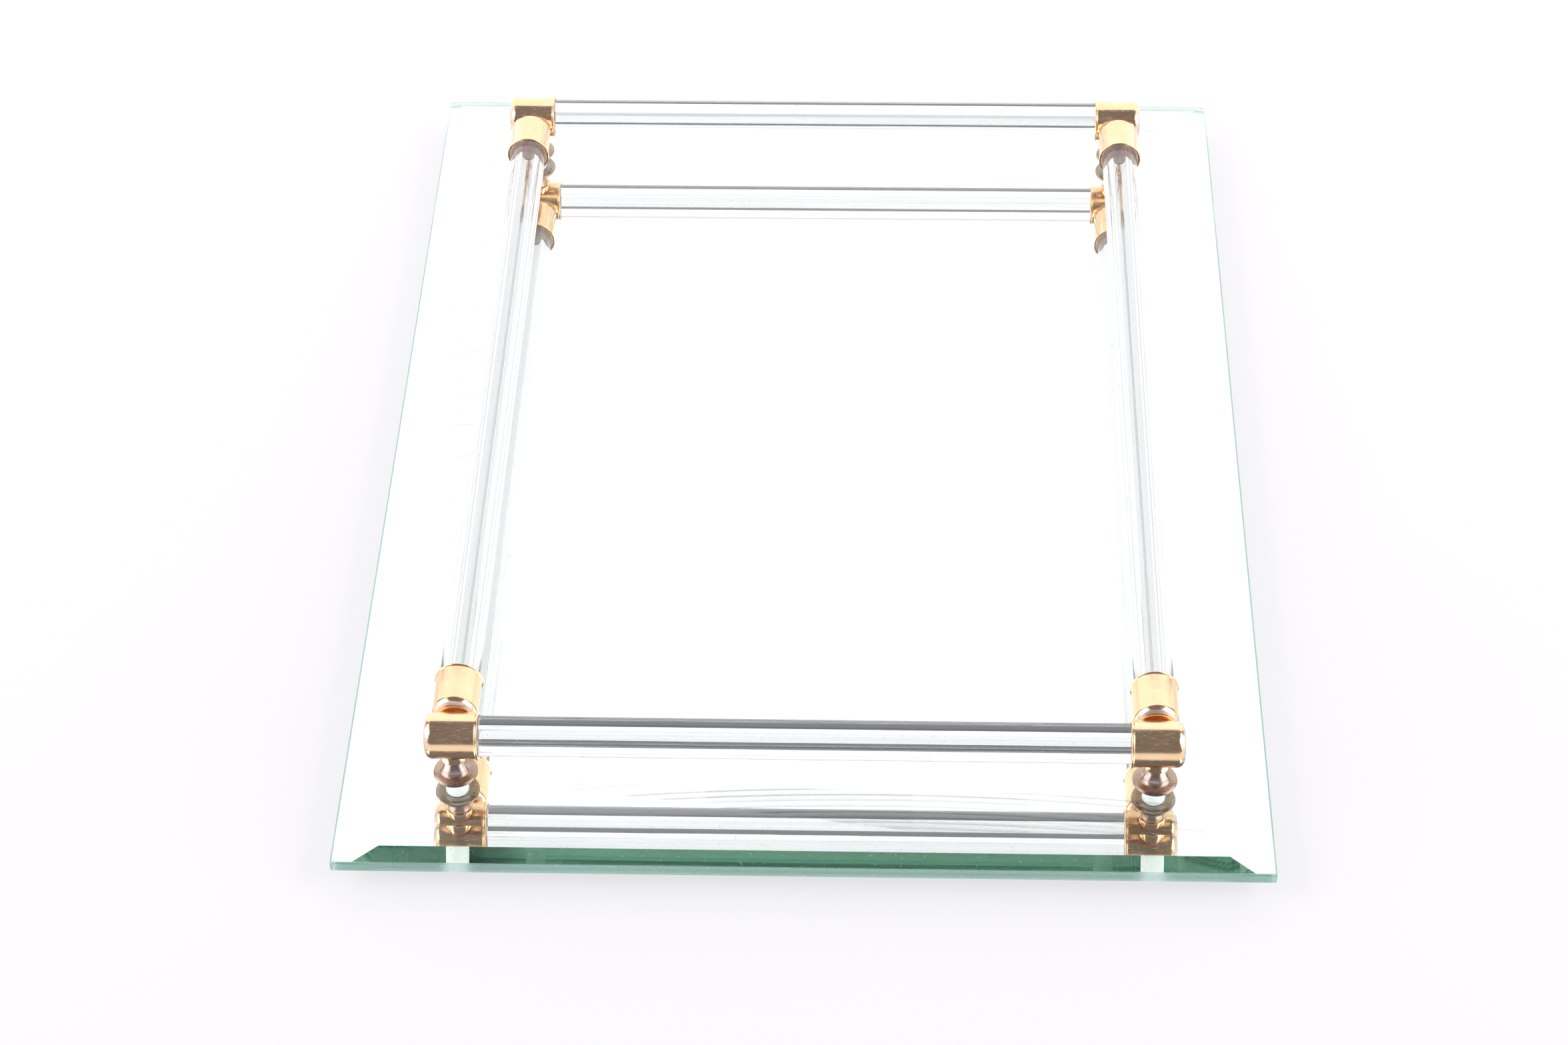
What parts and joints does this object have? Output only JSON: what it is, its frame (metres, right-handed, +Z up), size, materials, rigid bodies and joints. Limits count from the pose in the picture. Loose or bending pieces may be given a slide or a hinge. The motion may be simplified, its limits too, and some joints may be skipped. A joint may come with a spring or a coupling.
{
  "type": "dresser vanity tray",
  "caption": "Rectangular bevelled mirror tray on short feet, with a low gallery of clear round rods held in gold caps on turned corner posts.",
  "frame": {"origin": "middle of the tray, on the surface that its feet stand on", "axes": "+Z up; +Y from the front edge to the rear edge, the longer way of the tray; +X to the right seen from the front"},
  "size_m": [0.26, 0.35, 0.0342],
  "materials": {
    "mirror_glass": "polished green-tinted float glass, silvered underneath, bevelled all round",
    "backing": "grey protective film over the silvering",
    "clear_rod": "clear, fire-polished, faint lengthways drawing lines",
    "gold": "bright gold plate with fine handling scratches",
    "copper_gold": "worn rose-gold plate, slightly coppery",
    "brass": "plain turned brass",
    "steel": "zinc-plated steel",
    "clear_vinyl": "translucent soft vinyl ring",
    "white_nylon": "white nylon",
    "foot_rubber": "moulded pale rubber"
  },
  "bodies": {
    "tray": {"mirror_plate": "mirror_glass", "backing_sheet": "backing", "front_left_cross_cap": "gold", "front_left_side_cap": "gold", "front_left_core_plug": "brass", "front_left_cap_screw": "steel", "front_left_post": "copper_gold", "front_left_gasket": "clear_vinyl", "front_left_sleeve": "white_nylon", "front_left_foot": "foot_rubber", "front_left_foot_washer": "steel", "front_left_long_screw": "steel", "front_right_cross_cap": "gold", "front_right_side_cap": "gold", "front_right_core_plug": "brass", "front_right_cap_screw": "steel", "front_right_post": "copper_gold", "front_right_gasket": "clear_vinyl", "front_right_sleeve": "white_nylon", "front_right_foot": "foot_rubber", "front_right_foot_washer": "steel", "front_right_long_screw": "steel", "rear_left_cross_cap": "gold", "rear_left_side_cap": "gold", "rear_left_core_plug": "brass", "rear_left_cap_screw": "steel", "rear_left_post": "copper_gold", "rear_left_gasket": "clear_vinyl", "rear_left_sleeve": "white_nylon", "rear_left_foot": "foot_rubber", "rear_left_foot_washer": "steel", "rear_left_long_screw": "steel", "rear_right_cross_cap": "gold", "rear_right_side_cap": "gold", "rear_right_core_plug": "brass", "rear_right_cap_screw": "steel", "rear_right_post": "copper_gold", "rear_right_gasket": "clear_vinyl", "rear_right_sleeve": "white_nylon", "rear_right_foot": "foot_rubber", "rear_right_foot_washer": "steel", "rear_right_long_screw": "steel"},
    "front_rod": {"front_rod": "clear_rod"},
    "rear_rod": {"rear_rod": "clear_rod"},
    "left_rod": {"left_rod": "clear_rod"},
    "right_rod": {"right_rod": "clear_rod"}
  },
  "joints": [
    {"name": "front_rod_spin", "type": "hinge", "parent": "tray", "child": "front_rod", "pos_m": [0, -0.143, 0.0274], "axis": [1, 0, 0], "continuous": true},
    {"name": "rear_rod_spin", "type": "hinge", "parent": "tray", "child": "rear_rod", "pos_m": [0, 0.143, 0.0274], "axis": [1, 0, 0], "continuous": true},
    {"name": "left_rod_spin", "type": "hinge", "parent": "tray", "child": "left_rod", "pos_m": [-0.0978, 0, 0.0274], "axis": [0, 1, 0], "continuous": true},
    {"name": "right_rod_spin", "type": "hinge", "parent": "tray", "child": "right_rod", "pos_m": [0.0978, 0, 0.0274], "axis": [0, 1, 0], "continuous": true}
  ]
}
